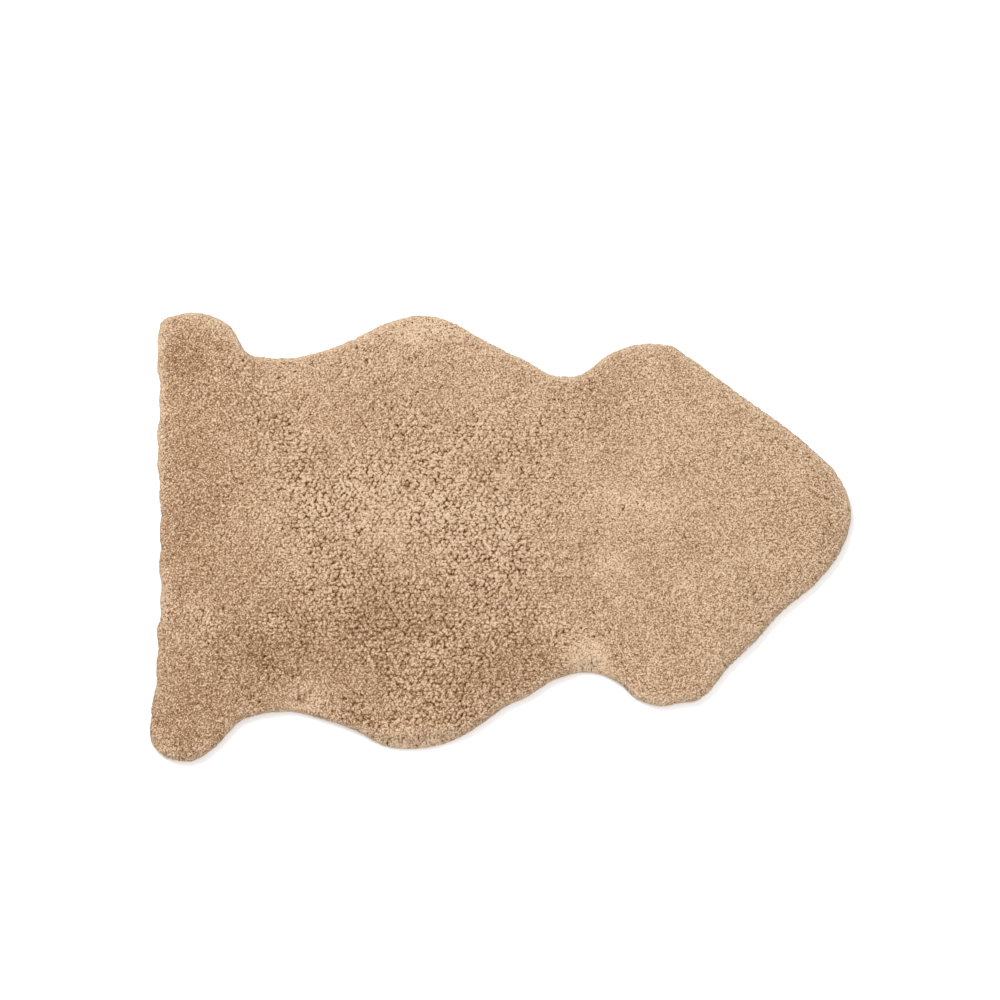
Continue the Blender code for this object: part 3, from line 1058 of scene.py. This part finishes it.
def mixed(tree, share, first, second):
    """A colour between first and second, each a colour or a socket:
    (1 - share) first + share second."""
    mix = tree.nodes.new("ShaderNodeMix")
    mix.data_type = "RGBA"
    for socket, value in ((mix.inputs[0], share), (mix.inputs[6], first), (mix.inputs[7], second)):
        if isinstance(value, bpy.types.NodeSocket):
            tree.links.new(value, socket)
        else:
            socket.default_value = value
    return mix.outputs[2]


def stretched(tree, value, low, high, to_low=0.0, to_high=1.0):
    """The value, moved from the range low to high onto another range and kept within it."""
    made = node(tree, "ShaderNodeMapRange", From_Min=low, From_Max=high, To_Min=to_low, To_Max=to_high)
    tree.links.new(value, made.inputs["Value"])
    return made.outputs["Result"]


# %% [markdown]
# The other helpers read a point's value, make a noise and make a bump. A bump only tilts
# the shading, which is enough for fibres, because they are finer than the mesh. The last
# helper starts a material, with the shader that Blender gives to each new one.

# %% Helpers that read, roughen and start a material


def attribute(tree, name):
    """The value that add_value gave each point under this name."""
    made = tree.nodes.new("ShaderNodeAttribute")
    made.attribute_name = name
    return made.outputs["Fac"]


def noise(tree, places, scale, detail, roughness):
    """A noise texture, from 0 to 1, read at the places that a socket gives."""
    made = node(tree, "ShaderNodeTexNoise", Scale=scale, Detail=detail, Roughness=roughness)
    tree.links.new(places, made.inputs["Vector"])
    return made.outputs["Fac"]


def bumped(tree, height, strength, distance):
    """A bump node: the normal is tilted as if the surface rose by distance times height."""
    made = node(tree, "ShaderNodeBump", Strength=strength, Distance=distance)
    tree.links.new(height, made.inputs["Height"])
    return made


def new_material(name, roughness):
    """A material with one shader, its node tree and that shader."""
    material = bpy.data.materials.new(name)
    material.use_nodes = True
    tree = material.node_tree
    shader = tree.nodes["Principled BSDF"]
    shader.inputs["Roughness"].default_value = roughness
    return material, tree, shader


# %% [markdown]
# The wool's colour is built in layers, like glazes over a ground. The ground is the lump's
# own tone. Then come painted cream highlights on the crests, cream streaks that are partly
# painted highlight, pale and dark patches with painted light along the rim, worn clouds,
# painted glints and painted shade in the fluff, and last the painted shade of the creases.
# As a table the layers are easy to read and to change.

# %% The colours of the wool
# The crease colour paints shade, the dark brown is both darker wool and painted shade, and the cream is
# both paler wool and painted highlight
CREASE_SHADE_COLOUR = (0.060, 0.022, 0.006, 1.0)
DARK_AND_SHADE_COLOUR = (0.170, 0.080, 0.030, 1.0)
TIP_COLOUR = (0.318, 0.192, 0.106, 1.0)
CREAM_AND_HIGHLIGHT_COLOUR = (0.628, 0.466, 0.325, 1.0)
# (value, where the layer starts, where it is full, its share there, colour), lowest first
LAYERS = (
    # Cream streaks along the fibres: partly the fibres' own paler strands, partly painted highlight on the
    # raised ones
    ("streaks", 0.42, 0.68, 0.60, CREAM_AND_HIGHLIGHT_COLOUR),
    ("pale", 0.00, 1.00, 0.90, CREAM_AND_HIGHLIGHT_COLOUR),
    ("pale", 0.00, -1.00, 0.70, DARK_AND_SHADE_COLOUR),
    ("mottle", 0.45, 0.75, 0.20, DARK_AND_SHADE_COLOUR),
    # The fluff's pale flecks are painted glints, and its dark flecks are painted shade where the bump
    # presses the fluff in
    ("fluff", 0.50, 0.37, 0.90, CREAM_AND_HIGHLIGHT_COLOUR),
    ("fluff", 0.50, 0.65, 0.95, DARK_AND_SHADE_COLOUR),
    # Painted shade: darker down each lump's flanks, darkest in the creases
    ("painted_shade", 0.32, 0.70, 1.00, DARK_AND_SHADE_COLOUR),
    ("painted_shade", 0.60, 0.95, 1.00, CREASE_SHADE_COLOUR),
)


def wool_values(tree):
    """The sockets that the layers read: the points' values, streaks of noise drawn out along
    the fibres, large soft clouds (mottle) and a fine noise (fluff)."""
    uv = tree.nodes.new("ShaderNodeUVMap")
    uv.uv_map = "fibre"
    fibres = node(tree, "ShaderNodeMapping", Scale=(0.35, 1.5, 1.0))
    tree.links.new(uv.outputs["UV"], fibres.inputs["Vector"])
    place = tree.nodes.new("ShaderNodeTexCoord").outputs["Object"]
    values = {name: attribute(tree, name) for name in ("painted_shade", "tone", "pale")}
    values["streaks"] = noise(tree, fibres.outputs["Vector"], 1.0, 3.0, 0.6)
    values["mottle"] = noise(tree, place, 13.0, 4.0, 0.55)
    values["fluff"] = noise(tree, place, 480.0, 3.0, 0.6)
    return values


def wool_colour(tree, values):
    """The lump's tone, then a painted cream highlight (a glint) whose share is crest times fluff,
    then the layers, each mixed over what lies below it."""
    tone = stretched(tree, values["tone"], 0.0, 1.0, 0.65, 1.0)
    ground = mixed(tree, tone, DARK_AND_SHADE_COLOUR, TIP_COLOUR)
    # A painted highlight: cream on the crests, broken up by the fluff
    painted_glint = node(tree, "ShaderNodeMath")
    painted_glint.operation = "MULTIPLY"
    tree.links.new(stretched(tree, values["painted_shade"], 0.0, 0.22, 1.0, 0.0), painted_glint.inputs[0])
    tree.links.new(stretched(tree, values["fluff"], 0.60, 0.42, 0.1, 1.0), painted_glint.inputs[1])
    colour = mixed(tree, painted_glint.outputs[0], ground, CREAM_AND_HIGHLIGHT_COLOUR)
    for name, start, full, most, layer in LAYERS:
        share = stretched(tree, values[name], start, full, 0.0, most)
        colour = mixed(tree, share, colour, layer)
    return colour


print("the wool's colour has", len(LAYERS), "layers over its ground")

# %% [markdown]
# Wool is rough and hardly shines, but where light grazes it, the fibres glow softly, which
# the shader calls sheen. The fluff and the streaks also tilt the surface a little, as
# fibres finer than the mesh would.

# %% The wool's material


def wool_material():
    """The layered colour on a rough shader with little gloss and a warm sheen. The fluff is
    pressed in, and the streaks are raised on top of it."""
    material, tree, shader = new_material("wool", 0.88)
    shader.inputs["Specular IOR Level"].default_value = 0.08
    shader.inputs["Sheen Weight"].default_value = 0.05
    shader.inputs["Sheen Roughness"].default_value = 0.45
    shader.inputs["Sheen Tint"].default_value = (1.0, 0.86, 0.68, 1.0)
    values = wool_values(tree)
    tree.links.new(wool_colour(tree, values), shader.inputs["Base Color"])
    soft = bumped(tree, values["fluff"], 1.0, 1.6 * MM)
    soft.invert = True
    raised = bumped(tree, values["streaks"], 0.7, 0.8 * MM)
    tree.links.new(soft.outputs["Normal"], raised.inputs["Normal"])
    tree.links.new(raised.outputs["Normal"], shader.inputs["Normal"])
    return material


wool = wool_material()
for piece in wool_pieces:
    piece.data.materials.append(wool)
print("the wool's material has", len(wool.node_tree.nodes), "nodes")

# %% [markdown]
# ## The finish of the skin
# The skin's flesh side is buffed to suede: pale tan, cloudy where the hide took the dye
# differently, with a fine nap. Two noises of very different scale give both.

# %% The skin's material
SUEDE_DARK = (0.520, 0.380, 0.250, 1.0)
SUEDE_PALE = (0.680, 0.540, 0.390, 1.0)


def suede_material():
    """The skin's flesh side: clouds between two tans, mixed with up to a third of the
    darker one where the nap is thick, and the nap as a bump."""
    material, tree, shader = new_material("suede", 0.92)
    shader.inputs["Sheen Weight"].default_value = 0.15
    place = tree.nodes.new("ShaderNodeTexCoord").outputs["Object"]
    cloud = noise(tree, place, 9.0, 5.0, 0.6)
    nap = noise(tree, place, 900.0, 3.0, 0.7)
    clouded = mixed(tree, stretched(tree, cloud, 0.3, 0.7), SUEDE_DARK, SUEDE_PALE)
    napped = mixed(tree, stretched(tree, nap, 0.35, 0.7, 0.0, 0.35), clouded, SUEDE_DARK)
    tree.links.new(napped, shader.inputs["Base Color"])
    bump = bumped(tree, nap, 0.4, 0.4 * MM)
    tree.links.new(bump.outputs["Normal"], shader.inputs["Normal"])
    return material


skin.data.materials.append(suede_material())
print("the skin's material:", skin.data.materials[0].name)

# %% [markdown]
# ## Floor and light
# The rug lies on a plain pale floor under soft studio light. One soft box alone would leave
# the near side dull. So there is a key light high over the hind end and the left flank,
# which draws the small shadows between the lumps, a broad fill light on the camera's side,
# and a pale background all round.

# %% Floor, lights and background
FLOOR_SIDE = 16.0
# (name, place, side length, power in watts)
LIGHTS = (
    ("key", (-1.4, 1.4, 3.2), 1.6, 120.0),
    ("fill", (0.6, -1.8, 3.6), 3.5, 110.0),
)
BACKGROUND = (1.0, 1.0, 1.0, 1.0)
BACKGROUND_STRENGTH = 0.55


def add_floor():
    """A square on the ground, its middle at the origin."""
    half = FLOOR_SIDE / 2.0
    points = np.array([(-half, -half, 0), (half, -half, 0), (half, half, 0), (-half, half, 0)])
    floor = mesh_piece("floor", points, [0, 1, 2, 3], [4], smooth=False)
    material, _, shader = new_material("floor", 0.9)
    shader.inputs["Base Color"].default_value = (0.92, 0.92, 0.92, 1.0)
    shader.inputs["Specular IOR Level"].default_value = 0.1
    floor.data.materials.append(material)


def add_light(name, place, side, power):
    """A square soft box that faces the rug's middle: tilted by the angle between its place
    and straight up, and turned by its direction on the floor plus a quarter turn."""
    data = bpy.data.lights.new(name, "AREA")
    data.size = side
    data.energy = power
    light = bpy.data.objects.new(name, data)
    light.location = place
    x, y, z = place
    light.rotation_euler = (math.atan2(math.hypot(x, y), z), 0.0, math.atan2(y, x) + math.pi / 2.0)
    light.visible_camera = False
    bpy.context.scene.collection.objects.link(light)


def add_background():
    """An even pale light from all round, and colours shown as they are."""
    world = bpy.data.worlds.new("studio")
    world.use_nodes = True
    background = world.node_tree.nodes["Background"]
    background.inputs["Color"].default_value = BACKGROUND
    background.inputs["Strength"].default_value = BACKGROUND_STRENGTH
    bpy.context.scene.world = world
    bpy.context.scene.view_settings.view_transform = "Standard"


add_floor()
for light in LIGHTS:
    add_light(*light)
add_background()
print("the studio has", len(LIGHTS), "lights")

# %% [markdown]
# ## What the pieces ride on
# The wool and the skin stand for the one solid of the frame, and all ride on its one body.
# The solid itself is hidden.

# %% The pieces and the frame
for piece in (*wool_pieces, skin):
    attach(piece, "root")
    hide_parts("pelt")
